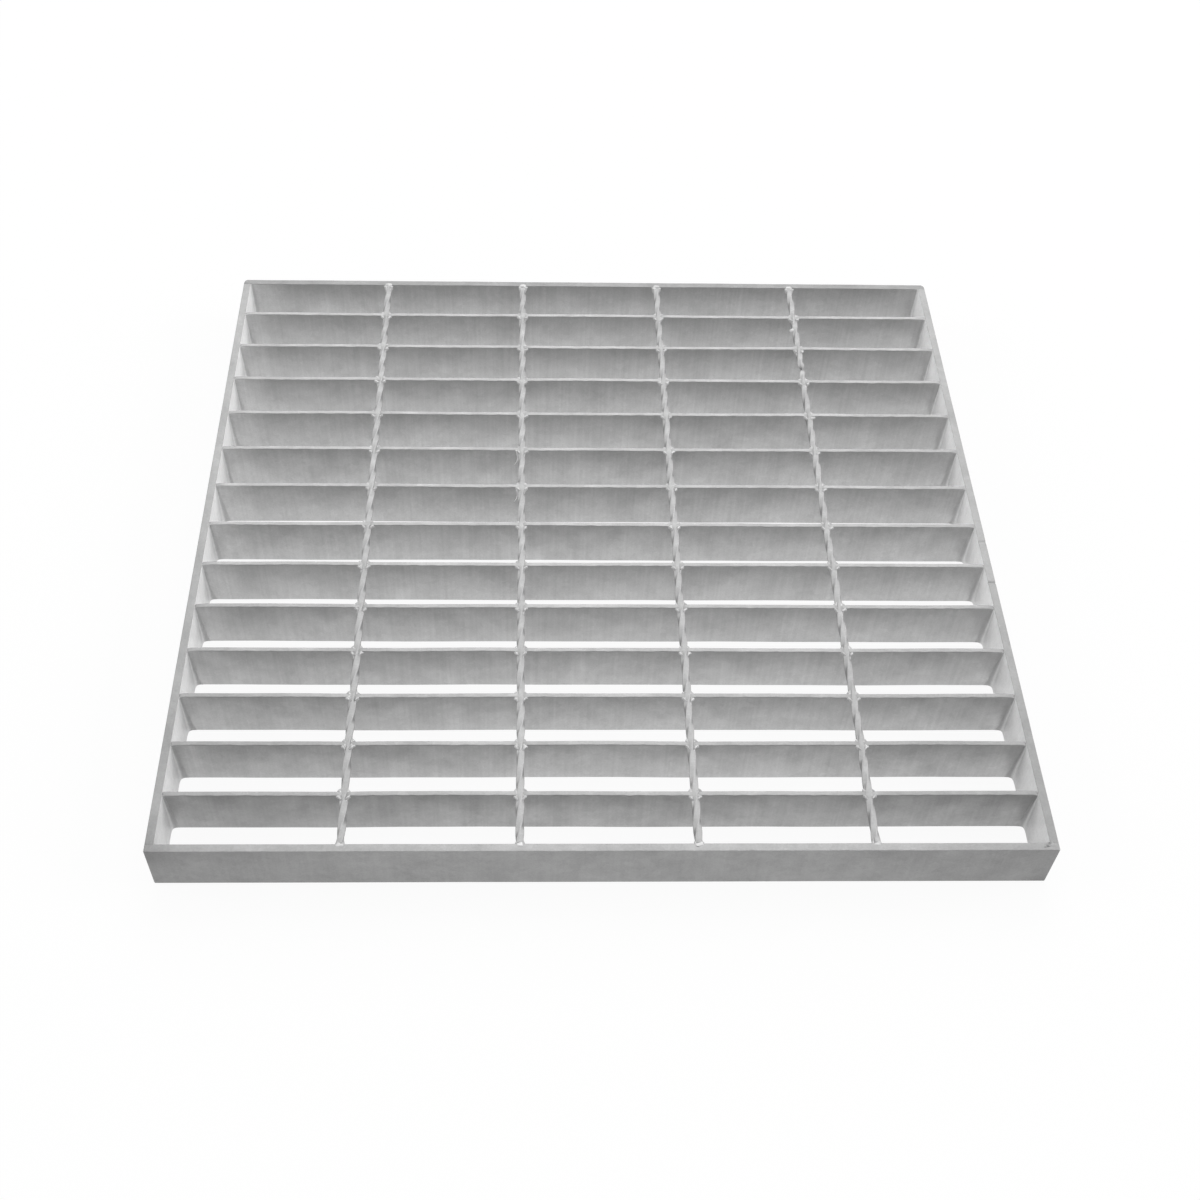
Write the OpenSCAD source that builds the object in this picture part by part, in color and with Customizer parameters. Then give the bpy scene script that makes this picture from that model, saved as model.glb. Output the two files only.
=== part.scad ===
// Welded steel grating panel: upright flat bearing bars, twisted square cross
// rods forged into notches in their tops, and a flat bar band welded round the
// edge.
// X runs along the bearing bars, Y across them and +Z is up. The origin is on
// the underside, below the middle of the panel. Millimetres.

/* [Panel] */
// Overall length, along the bearing bars
panel_length = 510; // [440:1:1200]

/* [Bearing bars] */
// Number of bearing bars between the end bands
bar_count = 13; // [3:1:29]
// Pitch of the bearing bars, centre to centre
bar_pitch = 34.3; // [20:0.1:60]
// Height of a bearing bar
bar_height = 35; // [20:1:60]
// Thickness of a bearing bar
bar_thickness = 3; // [2:0.5:8]

/* [Cross rods] */
// Number of cross rods
rod_count = 4; // [1:1:4]
// Pitch of the cross rods, centre to centre
rod_pitch = 100; // [40:1:101]
// Centre of the first rod, from the outer face of the left band
first_rod_at = 107.5; // [20:0.5:120]
// Side of the square rod
rod_side = 4; // [3:0.5:6]
// Length over which a rod twists through one full turn
rod_lead = 68.6; // [30:0.1:200]
// How far the twisted edges stand above the bar tops
rod_proud = 0.3; // [0:0.1:1]

/* [Forged crossings] */
// Radius of the collar of metal squeezed out where a rod enters a bar
collar_radius = 3.4; // [2.5:0.1:5]
// How far that collar runs out along the rod
collar_reach = 2; // [1:0.5:4]
// Width and depth of the groove that is pressed round the rod's upper flat
channel_gap = 0.3; // [0.1:0.1:0.5]

/* [Banding] */
// Thickness of the flat bar band round the edge
band_thickness = 5; // [3:0.5:10]
// Outer corner radius where the ends of the back band are rounded off
back_corner_radius = 4; // [1:0.5:4.5]

/* [Welds] */
// Leg of the fillet weld between a bar and a side band, at the underside
weld_leg = 5; // [3:0.5:6]
// Leg of that weld at the bar's top edge
weld_leg_top = 1.2; // [0.8:0.1:2.5]

/* [Hidden] */
slices_per_turn = 16;
weld_facets = 6;

gap = bar_pitch - bar_thickness;
bar_length = panel_length - 2 * band_thickness;
clear_width = bar_count * bar_thickness + (bar_count + 1) * gap;
panel_width = clear_width + 2 * band_thickness;
rod_reach = rod_side / sqrt(2);
rod_axis_z = bar_height + rod_proud - rod_reach;
rod_twist = 360 * clear_width / rod_lead;

galvanised = "#b9bcbe";
galvanised_band = "#aeb1b3";

// Centre of bearing bar i across the panel, counted from the front
function bar_y(i) = (i - (bar_count - 1) / 2) * bar_pitch;

// Centre of cross rod i along the panel, counted from the left
function rod_x(i) = first_rod_at + i * rod_pitch - panel_length / 2;

// A flat bar on edge, with a forged seat in its top for every rod
module bearing_bar() {
    difference() {
        union() {
            translate([-bar_length / 2, -bar_thickness / 2, 0])
                cube([bar_length, bar_thickness, bar_height]);
            for (i = [0 : rod_count - 1])
                translate([rod_x(i), 0, 0])
                    forged_collar();
        }
        for (i = [0 : rod_count - 1])
            translate([rod_x(i), 0, 0])
                rod_channel();
    }
}

// Metal squeezed out round the rod on both faces of a bar, pressed level on top
module forged_collar() {
    difference() {
        for (side = [-1, 1])
            translate([0, side * bar_thickness / 2, rod_axis_z])
                rotate([-90 * side, 0, 0])
                    cylinder(h = collar_reach, r1 = collar_radius, r2 = rod_side / 2, $fn = 24);
        translate([-2 * collar_radius, -bar_pitch / 2, bar_height])
            cube([4 * collar_radius, bar_pitch, 2 * collar_radius]);
    }
}

// Shallow groove that leaves the rod's upper flat bare as it crosses a bar
module rod_channel() {
    width = rod_side + 2 * channel_gap;
    reach = bar_thickness / 2 + collar_reach + channel_gap;
    translate([-width / 2, -reach, rod_axis_z + rod_side / 2 - channel_gap])
        cube([width, 2 * reach, rod_side]);
}

// A square rod twisted right-handed about its own length. One of its flats is
// uppermost over every bearing bar when the lead is twice the bar pitch.
module cross_rod() {
    rotate([90, 0, 0])
        linear_extrude(height = clear_width, center = true, twist = -rod_twist,
                       slices = ceil(slices_per_turn * rod_twist / 360), segments = 4)
            square(rod_side, center = true);
}

module grating() {
    color(galvanised)
        union() {
            for (i = [0 : bar_count - 1])
                translate([0, bar_y(i), 0])
                    bearing_bar();
            for (i = [0 : rod_count - 1])
                translate([rod_x(i), 0, rod_axis_z])
                    cross_rod();
        }
}

// Full-length band along the front edge, square at both ends
module band_front() {
    color(galvanised_band)
        translate([-panel_length / 2, -panel_width / 2, 0])
            cube([panel_length, band_thickness, bar_height]);
}

// Full-length band along the back edge, its outer corners ground round
module band_back() {
    inner_y = panel_width / 2 - band_thickness;
    color(galvanised_band)
        intersection() {
            translate([-panel_length / 2, inner_y, 0])
                cube([panel_length, band_thickness, bar_height]);
            linear_extrude(bar_height)
                rounded_outline();
        }
}

// Outline of the panel with both back corners rounded
module rounded_outline() {
    r = back_corner_radius;
    union() {
        translate([-panel_length / 2, -panel_width / 2])
            square([panel_length, panel_width - r]);
        translate([-panel_length / 2 + r, -panel_width / 2])
            square([panel_length - 2 * r, panel_width]);
        for (side = [-1, 1])
            translate([side * (panel_length / 2 - r), panel_width / 2 - r])
                circle(r, $fn = 48);
    }
}

// Band between the end bands, with a fillet weld in front of every bar end
module side_band(side) {
    face_x = side * bar_length / 2;
    color(galvanised_band)
        union() {
            translate([side > 0 ? face_x : -panel_length / 2, -clear_width / 2, 0])
                cube([band_thickness, clear_width, bar_height]);
            for (i = [0 : bar_count - 1])
                translate([face_x, bar_y(i) - bar_thickness / 2, 0])
                    weld_fillet(-side);
        }
}

// Hollow weld up the angle between a bar and a side band, narrower at the top
module weld_fillet(inward) {
    linear_extrude(bar_height, scale = weld_leg_top / weld_leg)
        polygon(concat([[0, 0]], [
            for (k = [0 : weld_facets])
                let (a = 90 * k / weld_facets)
                    weld_leg * [inward * (1 - sin(a)), cos(a) - 1]
        ]));
}

module band_left() {
    side_band(-1);
}

module band_right() {
    side_band(1);
}

grating();
band_front();
band_back();
band_left();
band_right();
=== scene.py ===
"""Looks of the welded steel grating panel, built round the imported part.

Bars, cross rods and bands are swept again over their CAD nodes, with softened edges and rolling waves. Weld
metal is added, and all of it is given a galvanised finish. Lengths are in metres unless a function says
millimetres, in the part's own frame: X along the bars, Y across them, Z up.
"""

import math
import random

import bmesh
import bpy
import numpy as np
from mathutils import Matrix, Vector, noise
from mathutils.geometry import interpolate_bezier

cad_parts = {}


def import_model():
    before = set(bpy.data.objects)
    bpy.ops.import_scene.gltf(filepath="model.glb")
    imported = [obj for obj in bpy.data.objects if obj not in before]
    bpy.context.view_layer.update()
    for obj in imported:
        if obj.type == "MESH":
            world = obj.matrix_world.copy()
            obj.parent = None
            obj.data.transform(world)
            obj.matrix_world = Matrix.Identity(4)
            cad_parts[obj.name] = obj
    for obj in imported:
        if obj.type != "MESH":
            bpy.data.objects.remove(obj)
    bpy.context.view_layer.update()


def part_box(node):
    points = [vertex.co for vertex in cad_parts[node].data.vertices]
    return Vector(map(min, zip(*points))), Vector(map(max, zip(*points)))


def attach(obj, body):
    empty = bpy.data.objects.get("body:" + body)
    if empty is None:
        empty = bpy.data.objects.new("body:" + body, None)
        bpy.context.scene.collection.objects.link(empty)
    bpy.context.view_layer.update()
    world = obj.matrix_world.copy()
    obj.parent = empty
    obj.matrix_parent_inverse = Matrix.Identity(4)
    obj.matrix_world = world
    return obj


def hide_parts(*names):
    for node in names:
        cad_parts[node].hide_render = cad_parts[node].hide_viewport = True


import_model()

MM = 0.001

# ---------------------------------------------------------------- sizes read from the frame
mesh_low, mesh_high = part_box("grating")
front_low, front_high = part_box("band_front")
back_low, back_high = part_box("band_back")
left_low, left_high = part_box("band_left")
right_low, right_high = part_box("band_right")

BAR_TOP = front_high.z
BAR_ENDS = (mesh_low.x, mesh_high.x)
ROD_ENDS = (front_high.y, back_low.y)

# ---------------------------------------------------------------- sizes that the fused node hides
BAR_COUNT = 13
BAR_T = 3 * MM
ROD_COUNT = 4
ROD_PITCH = 100 * MM
ROD_SIDE = 4 * MM
FIRST_ROD = 107.5 * MM
BAR_PITCH = (ROD_ENDS[1] - ROD_ENDS[0] + BAR_T) / (BAR_COUNT + 1)
ROD_LEAD = 2 * BAR_PITCH
ROD_AXIS_Z = mesh_high.z - ROD_SIDE / math.sqrt(2)
BACK_CORNER_RADIUS = 4 * MM

BAR_Y = [(i - (BAR_COUNT - 1) / 2) * BAR_PITCH for i in range(BAR_COUNT)]
ROD_X = [left_low.x + FIRST_ROD + i * ROD_PITCH for i in range(ROD_COUNT)]

# ---------------------------------------------------------------- unevenness of the steel
EDGE_RADIUS = 0.5 * MM
ROD_EDGE_RADIUS = 0.8 * MM
ROD_SIDES_SINK = 0.12 * MM
# How far apart the waves along a bar are: of its sideways bend, its top, its foot and its top's ragged edge
BEND_WAVE = 300 * MM
TOP_WAVE = 110 * MM
FOOT_WAVE = 170 * MM
RAGGED_OUT_WAVE = 14 * MM
RAGGED_DOWN_WAVE = 18 * MM
# A bar's top swings about a level below its CAD height, and its foot about one above the floor
TOP_SWING = 0.09 * MM
TOP_DROP = 0.10 * MM
FOOT_SWING = 0.06 * MM
FOOT_RISE = 0.05 * MM
LEAST_FOOT_RISE = 0.02 * MM
# How much a rod's twist, in radians, its thickness, as a share, and its place wander, and over what lengths
ROD_TWIST_SWING = 0.20
ROD_TWIST_WAVE = 90 * MM
ROD_SIZE_SWING = 0.045
ROD_SIZE_WAVE = 50 * MM
ROD_DRIFT = 0.22 * MM
ROD_DRIFT_WAVE = 120 * MM

# ---------------------------------------------------------------- marks of this one panel
# How far the flats of each rod lie in front of the bars, at its front end and at its back, in bays
FLATS_AHEAD = ((-0.16, -0.06), (-0.08, 0.07), (-0.13, 0.07), (0.02, 0.25))
DAMAGED_ROD = 3
BUMP_Y = 192.6 * MM
PINCH_Y = 151.5 * MM
# How far the pinch reaches along the rod, the share of its thickness it takes, and how far it pushes it
PINCH_REACH = 3 * MM
PINCH_SHARE = 0.58
PINCH_PUSH = 0.7 * MM
BURRED_ROD = 1
BURRED_BARS = (7, 8)
CURLED_END = (0, 2)
# Hollows across the right band's top, as (place along Y, half width, depth)
RIGHT_BAND_DENTS = ((-14.6 * MM, 1.1 * MM, 0.5 * MM), (-48.9 * MM, 0.8 * MM, 0.6 * MM))
CORNER_SLIT = (BAR_ENDS[1] - 1.2 * MM, ROD_ENDS[0] - 1.4 * MM)
# Darker patches on the zinc, as (middle, reach, share of the grey kept in the middle): four broad ones near
# the front corners, then painted shade in the pinched rod's notch and in the corner slit
DARK_PATCHES_AND_SHADE = (
    ((front_low.x, front_low.y, BAR_TOP), 30 * MM, 0.76),
    ((front_low.x, front_low.y + 70 * MM, BAR_TOP), 220 * MM, 0.86),
    ((front_high.x, front_low.y, 0), 20 * MM, 0.76),
    ((front_high.x, front_low.y + 40 * MM, BAR_TOP), 190 * MM, 0.86),
    # Painted shade in the notch of the pinched rod
    ((ROD_X[DAMAGED_ROD], PINCH_Y, ROD_AXIS_Z), 5 * MM, 0.45),
    # Painted shade in the slit of the corner weld, here and on the next line
    ((CORNER_SLIT[0] - 0.8 * MM, CORNER_SLIT[1] - 0.8 * MM, BAR_TOP), 1.4 * MM, 0.55),
    ((CORNER_SLIT[0] + 0.8 * MM, CORNER_SLIT[1] + 0.8 * MM, BAR_TOP), 1.4 * MM, 0.55),
)
# Painted light at the top of the bars' ends, a paler grey that lifts the shade beside the end welds, as
# (end, how far in it reaches, share of the grey at the end)
PAINTED_LIGHT_AT_BAR_ENDS = ((BAR_ENDS[0], 30 * MM, 1.42), (BAR_ENDS[1], -30 * MM, 1.25))


# ---------------------------------------------------------------- helpers
def wander(t, seed, octaves=4):
    """A smooth random curve of about unit height; t counts in wavelengths of its slowest wave."""
    rng = random.Random(seed)
    t = np.asarray(t, float)
    total = np.zeros_like(t)
    finer = 1.7
    usual_height = 1.6
    for k in range(octaves):
        turns = (finer ** k) * rng.uniform(0.8, 1.2)
        total += np.sin(2 * math.pi * (turns * t + rng.random())) / (k + 1)
    return total / usual_height


def bump_at(t, centre, width):
    """A smooth hill of height 1 at centre."""
    return np.exp(-((t - centre) / width) ** 2)


def new_mesh(name, verts, faces):
    mesh = bpy.data.meshes.new(name)
    mesh.from_pydata([tuple(v) for v in verts], [], faces)
    mesh.validate()
    obj = bpy.data.objects.new(name, mesh)
    bpy.context.scene.collection.objects.link(obj)
    return obj


def loft(rings):
    """Vertices and faces of a closed skin over rings of equal length, with a flat face on each end."""
    rings = np.asarray(rings, float)
    count, around, _ = rings.shape
    verts = rings.reshape(-1, 3)
    faces = []
    for i in range(count - 1):
        a, b = i * around, (i + 1) * around
        for j in range(around):
            k = (j + 1) % around
            faces.append((a + j, a + k, b + k, b + j))
    faces.append(tuple(range(around - 1, -1, -1)))
    faces.append(tuple(range((count - 1) * around, count * around)))
    return verts, faces


def joined(name, parts):
    """One mesh object of many (verts, faces) parts."""
    verts, faces, start = [], [], 0
    for part_verts, part_faces in parts:
        verts.extend(part_verts)
        faces.extend(tuple(start + i for i in f) for f in part_faces)
        start += len(part_verts)
    obj = new_mesh(name, verts, faces)
    work = bmesh.new()
    work.from_mesh(obj.data)
    bmesh.ops.recalc_face_normals(work, faces=work.faces)
    work.to_mesh(obj.data)
    work.free()
    return obj


def dress(obj, material, slot, *nodes, crease=180):
    """Gives a finished piece its material, body, replaced nodes and shading.

    Without a material it keeps the ones it has. The slot is not used. Edges that turn by more than crease
    degrees stay sharp.
    """
    if material:
        obj.data.materials.clear()
        obj.data.materials.append(material)
    for polygon in obj.data.polygons:
        polygon.use_smooth = True
    obj.data.set_sharp_from_angle(angle=math.radians(crease))
    weighted = obj.modifiers.new("Weighted normals", "WEIGHTED_NORMAL")
    weighted.mode = "FACE_AREA"
    weighted.keep_sharp = True
    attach(obj, "root")
    if nodes:
        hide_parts(*nodes)
    return obj


# ---------------------------------------------------------------- materials
# How often each pattern in the zinc comes round, in turns a metre, and the streaks along X, Y and Z
MOTTLING = 28.0
SPANGLE = 260.0
GRAIN = 900.0
STREAKS = (420, 420, 9)
WORN_SPOTS = 60.0
FINE_RELIEF = 700.0
COARSE_RELIEF = 90.0
# How far a face is turned towards X when it has the whole of its painted sideways shading
WHOLLY_SIDEWAYS = 0.95


def node(tree, kind, inputs=None, **settings):
    """A new shader node. Each of its inputs gets a value, or another node's output to follow."""
    made = tree.nodes.new("ShaderNode" + kind)
    for key, value in settings.items():
        setattr(made, key, value)
    for key, value in (inputs or {}).items():
        if isinstance(value, bpy.types.NodeSocket):
            tree.links.new(value, made.inputs[key])
        else:
            made.inputs[key].default_value = value
    return made


def ramp(tree, value, low, high, start=0.0, end=1.0, smooth=False):
    """Maps value, running from start to end, on to low to high. Each may be a number or a node's output."""
    inputs = {"Value": value, "From Min": start, "From Max": end, "To Min": low, "To Max": high}
    made = node(tree, "MapRange", inputs, interpolation_type="SMOOTHSTEP" if smooth else "LINEAR")
    return made.outputs["Result"]


def galvanised(name, low, high, roughness, seed, streaks=0.0, metallic=0.85, sideways_painted_shading=None, painted_end_light=False):
    """Zinc-coated steel, a grey that runs from low at the underside to high at the bar tops; on the bars
    this run is painted shading, lighter at the foot and darker near the top.

    Over that grey go soft mottling, faint spangle, fine grain, streaks that run down the faces and the
    darker patches, some of them painted shade in hollows. A second grey and metallic share for what faces
    along X is painted shading, with how far a face is turned that way when it starts to fade into them. A
    paler grey near the top of the bars' ends, when asked for, is painted light.
    """
    material = bpy.data.materials.new(name)
    material.use_nodes = True
    tree = material.node_tree
    tree.nodes.clear()
    place = node(tree, "TexCoord").outputs["Object"]

    def scaled(*scale):
        """The place, stretched, and shifted so that no two coats share a pattern."""
        shift = (seed, seed * 0.7, seed * 0.3)
        return node(tree, "Mapping", {"Vector": place, "Location": shift, "Scale": scale}).outputs["Vector"]

    def cloud(vector, scale, detail=3.0, rough=0.55):
        inputs = {"Vector": vector, "Scale": scale, "Detail": detail, "Roughness": rough}
        return node(tree, "TexNoise", inputs).outputs["Fac"]

    def spread(value, low, high):
        """Maps a noise of about 0.3 to 0.7 on to low to high."""
        return ramp(tree, value, low, high, 0.3, 0.7)

    def times(a, b):
        return node(tree, "Math", {0: a, 1: b}, operation="MULTIPLY").outputs[0]

    def darkening(middle, reach, kept):
        away = node(tree, "VectorMath", {0: place, 1: middle}, operation="DISTANCE").outputs["Value"]
        return ramp(tree, away, kept, 1.0, 0.0, reach, smooth=True)

    even = scaled(1, 1, 1)
    mottling = spread(cloud(even, MOTTLING), 0.93, 1.06)
    grain = spread(cloud(even, GRAIN, 2.0), 0.95, 1.05)
    streak = spread(cloud(scaled(*STREAKS), 1.0, 3.0, 0.6), 1 - streaks, 1 + streaks)
    cells = node(tree, "TexVoronoi", {"Vector": even, "Scale": SPANGLE})
    cell_colour = node(tree, "SeparateColor", {"Color": cells.outputs["Color"]})
    spangle = ramp(tree, cell_colour.outputs["Red"], 0.965, 1.035)

    where = node(tree, "SeparateXYZ", {"Vector": place}).outputs
    # The grey's run with height; on the bars it is painted shading
    base = ramp(tree, where["Z"], low, high, 0.0, BAR_TOP)
    metal = metallic
    if sideways_painted_shading:
        # Painted shading: faces turned along X fade to another grey and metallic share
        painted_side_grey, side_metallic, fade_start = sideways_painted_shading
        normal = node(tree, "NewGeometry").outputs["Normal"]
        facing = node(tree, "SeparateXYZ", {"Vector": normal})
        sideways = node(tree, "Math", {0: facing.outputs["X"]}, operation="ABSOLUTE")
        share = ramp(tree, sideways.outputs[0], 0.0, 1.0, fade_start, WHOLLY_SIDEWAYS, smooth=True)
        base = ramp(tree, share, base, painted_side_grey)
        metal = ramp(tree, share, metallic, side_metallic)
    tone = times(base, times(times(mottling, grain), times(streak, spangle)))
    for middle, reach, kept in DARK_PATCHES_AND_SHADE:
        tone = times(tone, darkening(middle, reach, kept))
    # Painted light: a paler grey near the top of the bars' ends
    for end, reach, gain in PAINTED_LIGHT_AT_BAR_ENDS if painted_end_light else ():
        at_end = ramp(tree, where["Z"], 1.0, gain, 0.0, BAR_TOP)
        tone = times(tone, ramp(tree, where["X"], at_end, 1.0, end, end + reach, smooth=True))
    colour = node(tree, "CombineColor", {"Red": tone, "Green": tone, "Blue": tone})

    relief = node(tree, "Bump", {
        "Strength": 0.35,
        "Distance": 0.12 * MM,
        "Height": cloud(even, FINE_RELIEF, 4.0),
    })
    coarse = node(tree, "Bump", {
        "Strength": 0.3,
        "Distance": 0.6 * MM,
        "Height": cloud(scaled(1, 1, 0.5), COARSE_RELIEF),
        "Normal": relief.outputs["Normal"],
    })
    shader = node(tree, "BsdfPrincipled", {
        "Base Color": colour.outputs["Color"],
        "Metallic": metal,
        "Roughness": spread(cloud(even, WORN_SPOTS), roughness - 0.06, roughness + 0.08),
        "Normal": coarse.outputs["Normal"],
    })
    node(tree, "OutputMaterial", {"Surface": shader.outputs["BSDF"]})
    return material


# The bars' grey, lighter at the foot and darker near the top, is painted shading
BAR_ZINC = galvanised("Galvanised bar", 0.56, 0.43, 0.48, 3.1, streaks=0.05, painted_end_light=True)
EDGE_ZINC = galvanised("Galvanised bar edge", 0.45, 0.45, 0.52, 4.4, metallic=0.5)
# The rods' flanks that face sideways are painted darker, painted shade
ROD_ZINC = galvanised("Galvanised rod", 0.50, 0.50, 0.60, 7.7, metallic=0.3, sideways_painted_shading=(0.30, 0.3, 0.72))
WELD_ZINC = galvanised("Galvanised weld flash", 0.58, 0.58, 0.44, 9.9, metallic=0.45)
# A darker grey for the bands' outer faces and undersides
OUTER_ZINC = galvanised("Darker zinc outside the bands", 0.35, 0.34, 0.50, 5.3, streaks=0.03)
# The front bar's faces: a darker copy of the bar grey, painted shade, with the same painted run with height
FRONT_ZINC = galvanised("Painted shade on the front bar", 0.47, 0.38, 0.48, 3.7, streaks=0.05, painted_end_light=True)
TOP_ZINC = galvanised("Zinc on top of the bands", 0.42, 0.42, 0.55, 6.1, metallic=0.45)
BACK_ZINC = galvanised("Darker zinc on top of the back band", 0.34, 0.34, 0.55, 6.7, metallic=0.45)
# Painted light: a near-white grey that brightens the side bands' inner faces beyond what the side lamps
# give
PAINTED_LIGHT_ZINC = galvanised(
    "Painted light inside the side bands", 0.94, 0.90, 0.45, 2.9, streaks=0.03, metallic=0.0
)
# The end welds' sides that face along X are painted paler, painted light that runs on from the bands' inner
# faces
FILLET_ZINC = galvanised(
    "Zinc on the bar end welds", 0.56, 0.54, 0.50, 8.2, metallic=0.3, sideways_painted_shading=(0.86, 0.3, 0.2)
)


# ---------------------------------------------------------------- flat bars and bands
def flat_section(thickness, top, radius, steps=3):
    """Outline of a flat bar on edge as (across, up) points, with soft corners."""
    points = []
    half = thickness / 2
    for side, high, start in ((1, 1, 0), (-1, 1, 90), (-1, 0, 180), (1, 0, 270)):
        centre = (side * (half - radius), top - radius if high else radius)
        for k in range(steps + 1):
            a = math.radians(start + 90 * k / steps)
            points.append((centre[0] + radius * math.cos(a), centre[1] + radius * math.sin(a)))
    return np.array(points)


def flat_bar(stations, thickness, across, seed, along="x", dips=(), wave=0.0, ragged=0.0, cut=None):
    """A flat bar swept along X or Y through the stations, with its ends softened too.

    dips are (place, half width, depth) hollows in its top edge, wave is how far it bends sideways, ragged
    how uneven its top edge is, and cut(station) how far its +across face is ground back there.
    """
    section = flat_section(thickness, BAR_TOP, EDGE_RADIUS)
    stations = np.asarray(stations, float)
    up = section[:, 1] / BAR_TOP
    near_edge = np.clip((-section[:, 0] / thickness + 0.5) * (up > 0.5), 0, 1)
    to_end = np.minimum(stations - stations[0], stations[-1] - stations)
    straight_end = 40 * MM
    bend = wave * wander(stations / BEND_WAVE, seed) * np.clip(to_end / straight_end, 0, 1)
    lift = TOP_SWING * wander(stations / TOP_WAVE, seed + 1) - TOP_DROP
    foot = np.maximum(FOOT_SWING * wander(stations / FOOT_WAVE, seed + 2) + FOOT_RISE, LEAST_FOOT_RISE)
    for place, width, depth in dips:
        lift = lift - depth * bump_at(stations, place, width)
    edge_out = ragged * wander(stations / RAGGED_OUT_WAVE, seed + 3)
    edge_down = 0.7 * ragged * wander(stations / RAGGED_DOWN_WAVE, seed + 4) - 0.5 * ragged
    is_end = (stations == stations[0]) | (stations == stations[-1])
    inset = EDGE_RADIUS * is_end
    rings = []
    for i, place in enumerate(stations):
        shape = section * (1 - 2 * inset[i] / thickness, 1) if inset[i] else section
        sideways = shape[:, 0] + bend[i] + edge_out[i] * near_edge
        if cut:
            sideways = np.minimum(sideways, thickness / 2 - cut(place))
        height = shape[:, 1] + lift[i] * up + edge_down[i] * near_edge + foot[i] * (1 - up)
        if inset[i]:
            height = np.clip(height, inset[i], BAR_TOP - inset[i])
        run = np.full(len(section), place)
        columns = [run, across + sideways, height] if along == "x" else [across + sideways, run, height]
        rings.append(np.stack(columns, 1))
    return loft(rings)


def stations_between(low, high, step, places, reach, fine):
    """Stations from low to high, at the fine step within reach of a place, and one more near each end."""
    near_end = 0.5 * MM
    least_gap = 0.3 * MM
    marks = set(np.round(np.linspace(low, high, int((high - low) / step) + 1), 6))
    for place in places:
        marks.update(np.round(np.arange(place - reach, place + reach, fine), 6))
    kept = [low, low + near_end]
    for mark in sorted(marks):
        if kept[-1] + least_gap < mark < high - near_end - least_gap:
            kept.append(mark)
    return kept + [high - near_end, high]


def bearing_bars():
    """The bearing bars, each a little uneven, with its top hollowed at every rod and at its ends."""
    stations = stations_between(*BAR_ENDS, step=3 * MM, places=ROD_X, reach=7 * MM, fine=0.5 * MM)
    parts = []
    for i, y in enumerate(BAR_Y):
        seed = 100 + 10 * i
        rng = random.Random(seed)
        dips = [(x, rng.uniform(2.2, 2.9) * MM, rng.uniform(0.7, 0.9) * MM) for x in ROD_X]
        dips += [(x, rng.uniform(1.5, 4) * MM, rng.uniform(0.2, 0.7) * MM) for x in BAR_ENDS]
        parts.append(flat_bar(stations, BAR_T, y, seed, dips=dips, wave=0.25 * MM, ragged=0.16 * MM))
    return joined("bearing_bars", parts)


# ---------------------------------------------------------------- twisted rods
def rounded_square(half, radius, hollow, steps=3):
    """Outline of a square bar with soft corners and sides that sink a little in the middle."""
    points = []
    for quarter in range(4):
        turn = Matrix.Rotation(math.radians(90 * quarter), 2)
        for k in range(steps + 1):
            a = math.radians(90 * k / steps)
            corner = Vector((half - radius + radius * math.cos(a), half - radius + radius * math.sin(a)))
            corner.rotate(turn)
            points.append(tuple(corner))
        middle = Vector((0, half - hollow))
        middle.rotate(turn)
        points.append(tuple(middle))
    return np.array(points)


def cross_rods():
    """Square rods twisted right-handed by a little over half a turn a bay, each uneven in its own way."""
    section = rounded_square(ROD_SIDE / 2, ROD_EDGE_RADIUS, ROD_SIDES_SINK)
    slices_in_a_bay = 26
    stations = np.linspace(*ROD_ENDS, (BAR_COUNT + 1) * slices_in_a_bay + 1)
    parts = []
    for i, x in enumerate(ROD_X):
        seed = 500 + 20 * i
        ahead = np.interp(stations, ROD_ENDS, FLATS_AHEAD[i]) * BAR_PITCH
        angle = 2 * math.pi * (stations + ahead) / ROD_LEAD
        angle = angle + ROD_TWIST_SWING * wander(stations / ROD_TWIST_WAVE, seed)
        size = 1 + ROD_SIZE_SWING * wander(stations / ROD_SIZE_WAVE, seed + 1)
        drift = ROD_DRIFT * wander(stations / ROD_DRIFT_WAVE, seed + 2)
        if i == DAMAGED_ROD:
            size -= PINCH_SHARE * bump_at(stations, PINCH_Y, PINCH_REACH)
            drift += PINCH_PUSH * bump_at(stations, PINCH_Y, PINCH_REACH)
        rings = []
        for k, place in enumerate(stations):
            c, s = math.cos(angle[k]), math.sin(angle[k])
            round_axis = section @ np.array([[c, -s], [s, c]]) * size[k]
            height = np.minimum(round_axis[:, 1], mesh_high.z - ROD_AXIS_Z)
            run = np.full(len(section), place)
            rings.append(np.stack([x + drift[k] + round_axis[:, 0], run, ROD_AXIS_Z + height], 1))
        parts.append(loft(rings))
    return joined("cross_rods", parts)


# ---------------------------------------------------------------- weld metal
def bead(centre, radii, seed, turn=0.0, tilt=0.0):
    """A lumpy ellipsoid of weld metal, in millimetres, tilted about Y and then turned about Z."""
    work = bmesh.new()
    bmesh.ops.create_icosphere(work, subdivisions=3, radius=1.0)
    pose = Matrix.Rotation(turn, 3, "Z") @ Matrix.Rotation(tilt, 3, "Y")
    shift = Vector((seed * 3.7, seed * 1.3, seed * 0.7))
    verts = []
    for vert in work.verts:
        lump = 1 + 0.22 * noise.noise(vert.co * 1.3 + shift)
        verts.append(tuple(Vector(centre) + pose @ Vector(c * r * lump for c, r in zip(vert.co, radii))))
    faces = [tuple(v.index for v in face.verts) for face in work.faces]
    work.free()
    return verts, faces


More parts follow.
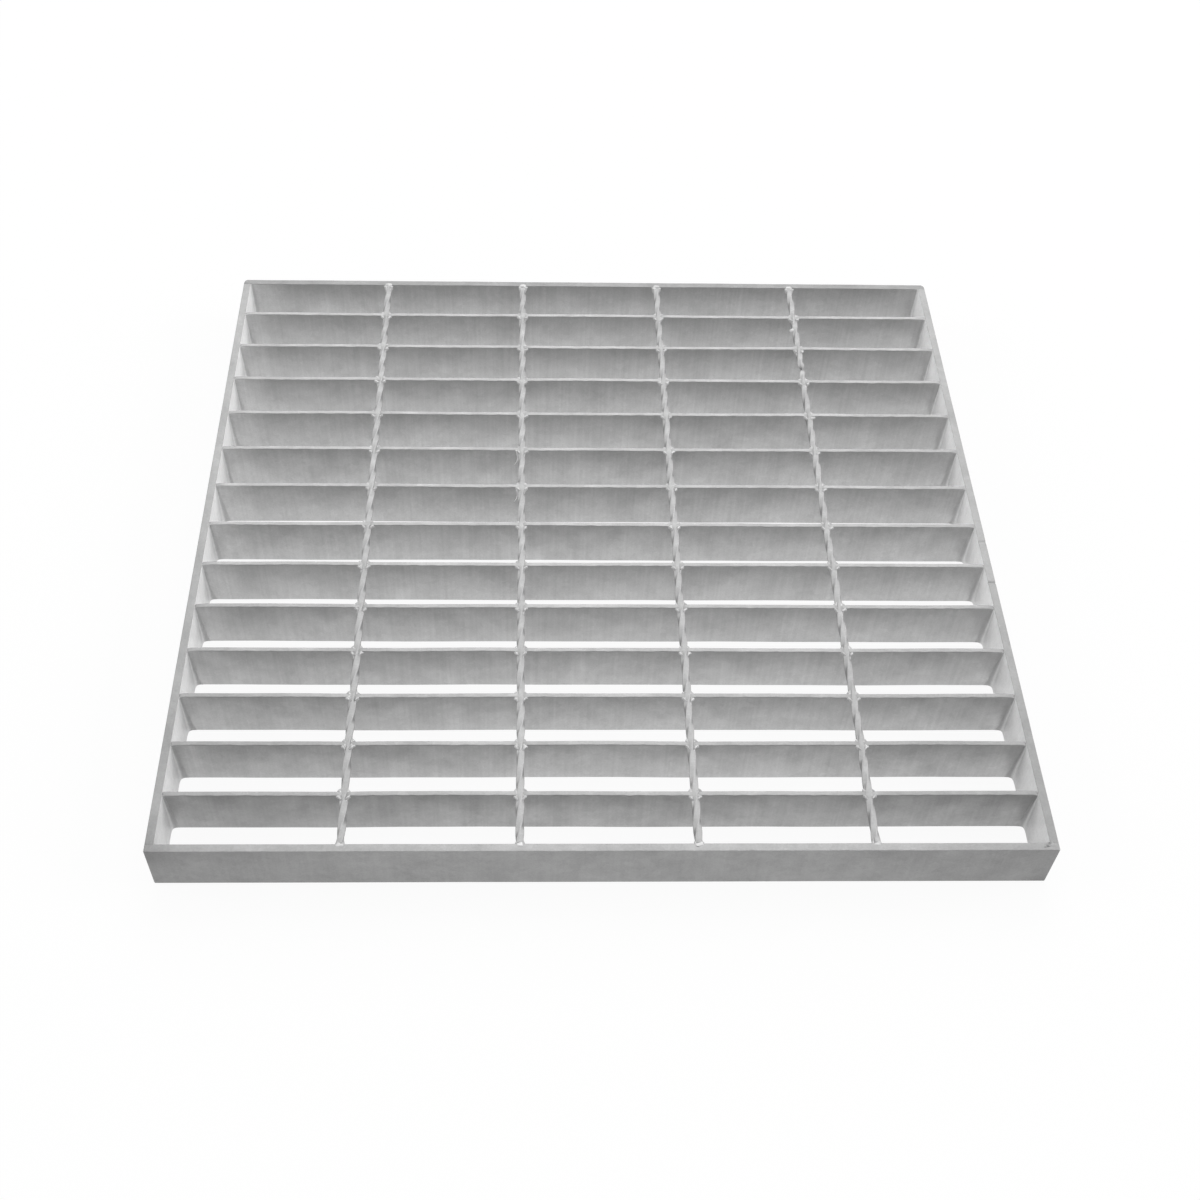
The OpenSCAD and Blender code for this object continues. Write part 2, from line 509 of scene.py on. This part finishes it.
def squeezed_ears(seed, spread, back=1.0, front_reach=6.0):
    """Metal squeezed out beside and below a rod on both faces of a bar, in millimetres about the crossing.

    spread is how thick it is at the bar, back how much of that its back face gets, and front_reach how far
    it runs out along the rod in front.
    """
    back_reach = 6
    fades_in = 1.3
    core = 1.5
    collar = 0.45
    clear_from = 0.62
    clear_over = 0.25
    around = 36
    bar_face = BAR_T / MM / 2
    top = (BAR_TOP - ROD_AXIS_Z) / MM
    shift = Vector((seed * 2.1, seed * 0.9, 0))
    rings = []
    for run in np.linspace(-front_reach, back_reach, 49):
        out = max(abs(run) - bar_face, 0)
        flare = spread * math.exp(-out / fades_in) * (back if run > 0 else 1)
        ring = []
        for k in range(around):
            a = 2 * math.pi * k / around
            uppermost = max(math.sin(a), 0)
            beside = 1 - min(max((uppermost - clear_from) / clear_over, 0), 1)
            below = max(-math.sin(a), 0)
            lump = 1 + 0.35 * noise.noise(Vector((math.cos(a) * 1.2, run * 0.5, math.sin(a) * 1.2)) + shift)
            radius = core + beside * (collar + flare * lump * (1 - 0.45 * below))
            ring.append((radius * math.cos(a), run, min(radius * math.sin(a), top)))
        rings.append(ring)
    return loft(rings)


def fused(name, parts, voxel=0.33, smoothing=2, kept=0.55):
    """Vertices and faces, in metres, of overlapping millimetre solids melted into one skin.

    voxel is the size of the cells it is melted in, and kept the share of its faces that stays.
    """
    lump = joined(name, parts)
    remesh = lump.modifiers.new("Fuse", "REMESH")
    remesh.mode = "VOXEL"
    remesh.voxel_size = voxel
    smooth = lump.modifiers.new("Soften", "SMOOTH")
    smooth.factor = 0.5
    smooth.iterations = smoothing
    fewer = lump.modifiers.new("Fewer faces", "DECIMATE")
    fewer.ratio = kept
    depsgraph = bpy.context.evaluated_depsgraph_get()
    melted = lump.evaluated_get(depsgraph).to_mesh()
    verts = np.array([vert.co for vert in melted.vertices]) * MM
    faces = [tuple(face.vertices) for face in melted.polygons]
    bpy.data.objects.remove(lump)
    return verts, faces


def crossing_shapes(count):
    """Different forged crossings to pick from, each about its own middle, from beads in millimetres.

    On a bar's front face two ears lean in over the rod from a drop at either side. At its back a web runs
    out to it.
    """
    shapes = []
    for k in range(count):
        rng = random.Random(40 + k)
        parts = [squeezed_ears(k + 1, rng.uniform(1.0, 1.6), rng.uniform(0.6, 1.0))]
        for side in (-1, 1):
            lean = -side * math.radians(rng.uniform(30, 45))
            ear = (side * rng.uniform(2.1, 2.5), -rng.uniform(2.4, 3.0), rng.uniform(1.7, 2.1))
            parts.append(bead(ear, (0.6, rng.uniform(1.8, 2.4), 0.75), k + side * 5, lean))
            drop = (side * rng.uniform(3.0, 3.6), -rng.uniform(1.7, 2.1), rng.uniform(1.2, 1.8))
            parts.append(bead(drop, (rng.uniform(0.7, 1.0), 0.8, rng.uniform(0.7, 1.2)), k + side * 9))
            web = (side * rng.uniform(2.8, 3.2), rng.uniform(2.2, 2.8), rng.uniform(0.6, 1.2))
            parts.append(bead(web, (0.6, rng.uniform(1.2, 2.4), 1.0), k + side * 13, -lean))
        shapes.append(fused("crossing", parts))
    return shapes


def placed(shape, x, y, z, turn=0.0):
    """The shape turned about Z and moved, pressed level where it would stand above the rods."""
    verts, faces = shape
    c, s = math.cos(turn), math.sin(turn)
    turned_x = x + verts[:, 0] * c - verts[:, 1] * s
    turned_y = y + verts[:, 0] * s + verts[:, 1] * c
    height = np.minimum(verts[:, 2] + z, mesh_high.z)
    return np.stack([turned_x, turned_y, height], 1), faces


def sliver(place, curve):
    """A thin sliver of flash along a curve of four control points, in millimetres about the place."""
    rings = []
    steps = 12
    thick = 0.5
    knot, handle, next_handle, next_knot = (Vector(point) for point in curve)
    for i, centre in enumerate(interpolate_bezier(knot, handle, next_handle, next_knot, steps + 1)):
        radius = thick * (1 - 0.6 * (i / steps) ** 3)
        ring = []
        for a in np.linspace(0, 2 * math.pi, 8, endpoint=False):
            out = Vector((radius * math.cos(a), 0.7 * radius * math.sin(a), 0))
            ring.append((place + centre + out) * MM)
        rings.append(ring)
    return loft(rings)


def flash_slivers():
    """A straight ridge and a hooked sliver of flash on the front of each burred bar, left of the rod."""
    parts = []
    ridge = ((-4.0, 0.3, -0.3), (-3.3, -0.8, -1.6), (-2.5, -2.0, -3.0), (-1.9, -3.0, -4.4))
    hook = ((-3.9, 0.2, -1.2), (-2.6, -0.5, -5.5), (-2.4, -0.9, -9.5), (-5.2, -1.6, -12.5))
    for bar in BURRED_BARS:
        place = Vector((ROD_X[BURRED_ROD], BAR_Y[bar] - BAR_T / 2, BAR_TOP)) / MM
        parts.append(sliver(place, ridge))
        parts.append(sliver(place, hook))
    return joined("flash_slivers", parts)


def forged_crossings():
    """The weld metal at all crossings, and the two drops on the damaged rod."""
    shapes = crossing_shapes(7)
    rng = random.Random(77)
    parts = []
    for x in ROD_X:
        for y in BAR_Y:
            parts.append(placed(rng.choice(shapes), x + rng.uniform(-0.2, 0.2) * MM, y, ROD_AXIS_Z))
    drops = [(-2.3 * MM, BUMP_Y, (2.0, 2.2, 1.3)), (-0.5 * MM, PINCH_Y - 5.8 * MM, (1.4, 1.5, 1.3))]
    for offset, y, radii in drops:
        drop = fused("drop", [bead((0, 0, 0), radii, y * 50)])
        parts.append(placed(drop, ROD_X[DAMAGED_ROD] + offset, y, ROD_AXIS_Z + 0.7 * MM))
    return joined("forged_crossings", parts)


def rod_end_welds():
    """Small pads of weld that blend each rod's end into the top of an end band."""
    parts = []
    level = (BAR_TOP - ROD_AXIS_Z) / MM
    for end, y in enumerate(ROD_ENDS):
        for i, x in enumerate(ROD_X):
            seed = 60 + 10 * end + i
            rng = random.Random(seed)
            pad = (rng.uniform(2.4, 3.0), rng.uniform(1.3, 1.9), 0.5)
            blobs = [
                squeezed_ears(seed, 0.8 + 0.5 * end, front_reach=1.5),
                bead((0, -0.9, level - 0.35), pad, seed),
                bead((rng.uniform(-1.6, 1.6), 0.5, level - 1.0), (1.5, 1.2, 0.9), seed + 7),
            ]
            for side in (-1, 1) if end else ():
                ear = (side * rng.uniform(2.2, 2.8), rng.uniform(1.0, 1.5), rng.uniform(1.5, 2.1))
                radii = (0.7, rng.uniform(1.2, 1.8), 0.8)
                blobs.append(bead(ear, radii, seed + side, side * math.radians(38)))
            if (end, i) == CURLED_END:
                blobs.append(bead((-0.4, -1.7, level), (1.6, 0.5, 0.45), seed + 3, tilt=0.3))
            parts.append(placed(fused("end_weld", blobs), x, y, ROD_AXIS_Z, math.pi * end))
    return joined("rod_end_welds", parts)


def corner_weld():
    """Two ridges of weld with a slit between them, askew across the front right inner corner."""
    askew = math.radians(-42)
    sunk = 0.2 * MM
    parts = [
        bead((1.3, 0.5, 0), (1.2, 2.3, 0.7), 3, askew),
        bead((-1.2, -0.5, 0), (0.9, 1.9, 0.65), 5, askew),
    ]
    ridges = fused("corner_weld", parts, 0.15, 1)
    return joined("corner_weld", [placed(ridges, *CORNER_SLIT, BAR_TOP - sunk)])


def corner_fillet(x, y, out_x, out_y, low_leg, high_leg, seed):
    """A hollow weld up the angle at (x, y), between a face that runs towards out_x and one towards out_y.

    Its legs shrink from low_leg at the foot to high_leg at the top. It is sunk a little into both faces.
    """
    rings = []
    sunk = 0.3 * MM
    hollow = 1.4
    foot = 0.3 * MM
    head = BAR_TOP - 0.4 * MM
    lumpiness = 0.10
    lump_wave = 12 * MM
    for z in np.linspace(foot, head, 24):
        share = z / BAR_TOP
        lump = 1 + lumpiness * float(wander(z / lump_wave, seed))
        leg = (low_leg + (high_leg - low_leg) * share ** 0.7) * lump
        ring = [(x - out_x * sunk, y - out_y * sunk, z), (x + out_x * leg, y - out_y * sunk, z)]
        for a in np.linspace(0, math.pi / 2, 9):
            ring.append((
                x + out_x * leg * (1 - math.sin(a)) ** hollow,
                y + out_y * leg * (1 - math.cos(a)) ** hollow,
                z,
            ))
        ring.append((x - out_x * sunk, y + out_y * leg, z))
        rings.append(ring)
    return loft(rings)


def bar_end_welds(name, end_x, inward):
    """Hollow fillets on one side, up the front of every bar end and up the panel's two inner corners."""
    parts = []
    rng = random.Random(300 + inward)
    for i, y in enumerate(BAR_Y):
        low_leg = rng.uniform(4.2, 5.8) * MM
        parts.append(corner_fillet(end_x, y - BAR_T / 2, inward, -1, low_leg, 1.2 * MM, i))
    for y, out_y in ((ROD_ENDS[0], 1), (ROD_ENDS[1], -1)):
        parts.append(corner_fillet(end_x, y, inward, out_y, 4 * MM, 2.2 * MM, 40 + out_y))
    return joined(name, parts)


# ---------------------------------------------------------------- bands
def end_band(name, low, high, seed, round_off=0.0):
    """A full-length band; round_off is the radius of its two outer corners."""
    ends = (low.x, high.x)
    stations = stations_between(*ends, step=4 * MM, places=ends, reach=5 * MM, fine=0.4 * MM)

    def cut(place):
        run = round_off - min(place - low.x, high.x - place)
        return round_off - math.sqrt(round_off ** 2 - run ** 2) if run > 0 else 0.0

    ground = cut if round_off else None
    thickness = high.y - low.y
    middle = (high.y + low.y) / 2
    verts, faces = flat_bar(stations, thickness, middle, seed, ragged=0.07 * MM, cut=ground)
    verts[:, 1] = np.clip(verts[:, 1], low.y, high.y)
    return joined(name, [(verts, faces)])


def side_band(name, low, high, seed, dips=()):
    """A band that runs on a little into both end bands, narrowing there, so that no seam shows."""
    overlap = 2 * MM
    places = [dip[0] for dip in dips]
    between = stations_between(*ROD_ENDS, step=2.5 * MM, places=places, reach=4 * MM, fine=0.35 * MM)
    stations = [ROD_ENDS[0] - overlap, *between, ROD_ENDS[1] + overlap]
    outer, inner = (low.x, BAR_ENDS[0]) if low.x < 0 else (high.x, BAR_ENDS[1])
    part = flat_bar(stations, abs(outer - inner), (outer + inner) / 2, seed, along="y", dips=dips)
    return joined(name, [part])


REST, TOP, THIRD = range(3)
# How far a polygon faces inward or up when it gets the coat of that side
FACING_INWARD = 0.75
FACING_UP = 0.4


def coat_by_side(piece, rest, top, third, inward=(0, 0, 0)):
    """Coats the rest, the top and, with the third coat, the side that faces inward, if there is one."""
    for material in (rest, top, third):
        piece.data.materials.append(material)
    for polygon in piece.data.polygons:
        if polygon.normal.dot(Vector(inward)) > FACING_INWARD:
            polygon.material_index = THIRD
        else:
            polygon.material_index = TOP if polygon.normal.z > FACING_UP else REST
    return piece


def coated_bars():
    """The bearing bars, with a darker coat on the faces of the one in front, painted shade."""
    bars = coat_by_side(bearing_bars(), BAR_ZINC, EDGE_ZINC, FRONT_ZINC)
    for polygon in bars.data.polygons:
        in_front = polygon.center.y < BAR_Y[0] + BAR_PITCH / 2
        if polygon.material_index == REST and in_front:
            polygon.material_index = THIRD
    return bars


dress(coated_bars(), None, "galvanised_mesh", "grating")
dress(cross_rods(), ROD_ZINC, "galvanised_mesh")
dress(forged_crossings(), WELD_ZINC, "galvanised_mesh")
# The slivers take the near-white grey, a painted highlight on the burrs
dress(flash_slivers(), PAINTED_LIGHT_ZINC, "galvanised_mesh")
dress(rod_end_welds(), WELD_ZINC, "galvanised_mesh")
dress(corner_weld(), TOP_ZINC, "galvanised_band")
# The front band's inner face takes that darker grey too, painted shade on the front bar, which mirrors it
for side, low, high, inward, top, inside, round_off in (
    ("front", front_low, front_high, 1, EDGE_ZINC, OUTER_ZINC, 0.0),
    ("back", back_low, back_high, -1, BACK_ZINC, BAR_ZINC, BACK_CORNER_RADIUS),
):
    band = end_band(side + "_band", low, high, 900 + inward, round_off)
    coat_by_side(band, OUTER_ZINC, top, inside, (0, inward, 0))
    dress(band, None, "galvanised_band", "band_" + side)
for side, low, high, inward, end_x, dips in (
    ("left", left_low, left_high, 1, BAR_ENDS[0], ()),
    ("right", right_low, right_high, -1, BAR_ENDS[1], RIGHT_BAND_DENTS),
):
    band = side_band(side + "_band", low, high, 920 + inward, dips)
    # The side bands' inner faces take the near-white painted-light grey
    coat_by_side(band, OUTER_ZINC, TOP_ZINC, PAINTED_LIGHT_ZINC, (inward, 0, 0))
    dress(band, None, "galvanised_band", "band_" + side)
    welds = bar_end_welds(side + "_welds", end_x, inward)
    dress(welds, FILLET_ZINC, "galvanised_band", crease=50)


# ---------------------------------------------------------------- stage, light and camera
AMBIENT = 0.5
WHITE = (1, 1, 1, 1)
FLOOR_REACH = 8.0
FLOOR_GREY = (0.9, 0.9, 0.9, 1)
# How white the floor looks to the camera, and in what the metal mirrors
FLOOR_SEEN_WHITE = 0.93
FLOOR_MIRRORED_WHITE = 1.0
# Soft boxes that face the panel, as (name, place, size, power)
SOFT_BOXES = (
    ("Top light", (0.2, 3.8, 3.8), 4.0, 128),
    ("Left light", (-4.0, 0.1, 1.8), 2.4, 70),
    ("Right light", (4.0, 0.1, 1.8), 2.4, 100),
)
# The photo's view, fitted to the panel's corners and bars. Angles are in degrees.
CAMERA_PLACE = (-0.0442, -0.6857, 0.7989)
CAMERA_HEADING = -2.515
CAMERA_BELOW_LEVEL = 50.831
CAMERA_ROLL = 2.090
CAMERA_SHIFT_X = 0.025
SENSOR_WIDTH = 36
FOCAL_LENGTH = 47.16


def shown_white(tree, surface, share_seen, share_mirrored):
    """Mixes plain white into a surface for rays that only look at it, so that the lamps needn't clip it."""
    ray = node(tree, "LightPath").outputs
    seen = node(tree, "Math", {0: ray["Is Camera Ray"], 1: share_seen}, operation="MULTIPLY")
    amounts = {0: ray["Is Glossy Ray"], 1: share_mirrored, 2: seen.outputs[0]}
    either = node(tree, "Math", amounts, operation="MULTIPLY_ADD")
    white = node(tree, "Emission", {"Strength": 1.0})
    mix = node(tree, "MixShader", {"Fac": either.outputs[0], 1: surface, 2: white.outputs["Emission"]})
    return mix.outputs["Shader"]


def floor():
    """The pale floor, which isn't part of the object."""
    corners = [(FLOOR_REACH * x, FLOOR_REACH * y, 0) for x, y in ((-1, -1), (1, -1), (1, 1), (-1, 1))]
    plane = new_mesh("Floor", corners, [(0, 1, 2, 3)])
    material = bpy.data.materials.new("Pale floor")
    material.use_nodes = True
    tree = material.node_tree
    tree.nodes.clear()
    matt = node(tree, "BsdfDiffuse", {"Color": FLOOR_GREY})
    shown = shown_white(tree, matt.outputs["BSDF"], FLOOR_SEEN_WHITE, FLOOR_MIRRORED_WHITE)
    node(tree, "OutputMaterial", {"Surface": shown})
    plane.data.materials.append(material)


def world():
    """Even white light from all round, at AMBIENT, behind which the camera sees plain white."""
    made = bpy.data.worlds.new("Studio")
    bpy.context.scene.world = made
    made.use_nodes = True
    tree = made.node_tree
    tree.nodes.clear()
    lit = node(tree, "Background", {"Color": WHITE, "Strength": AMBIENT})
    seen = node(tree, "Background", {"Color": WHITE, "Strength": 1.0})
    ray = node(tree, "LightPath").outputs
    parts = {"Fac": ray["Is Camera Ray"], 1: lit.outputs["Background"], 2: seen.outputs["Background"]}
    node(tree, "OutputWorld", {"Surface": node(tree, "MixShader", parts).outputs["Shader"]})


def soft_box(name, place, size, power):
    """A square light that faces the middle of the panel."""
    light = bpy.data.lights.new(name, "AREA")
    light.shape = "SQUARE"
    light.size = size
    light.energy = power
    lamp = bpy.data.objects.new(name, light)
    lamp.location = place
    lamp.rotation_euler = (-Vector(place)).to_track_quat("-Z", "Y").to_euler()
    bpy.context.scene.collection.objects.link(lamp)


def camera():
    """The camera at the photo's view."""
    data = bpy.data.cameras.new("Camera")
    data.sensor_width = SENSOR_WIDTH
    data.lens = FOCAL_LENGTH
    data.shift_x = CAMERA_SHIFT_X
    made = bpy.data.objects.new("Camera", data)
    made.location = CAMERA_PLACE
    heading = Matrix.Rotation(math.radians(CAMERA_HEADING), 4, "Z")
    tilt = Matrix.Rotation(math.radians(90 - CAMERA_BELOW_LEVEL), 4, "X")
    roll = Matrix.Rotation(math.radians(CAMERA_ROLL), 4, "Z")
    made.rotation_euler = (heading @ tilt @ roll).to_euler()
    bpy.context.scene.collection.objects.link(made)
    bpy.context.scene.camera = made


floor()
world()
for soft_box_sizes in SOFT_BOXES:
    soft_box(*soft_box_sizes)
camera()
bpy.context.scene.view_settings.view_transform = "Standard"
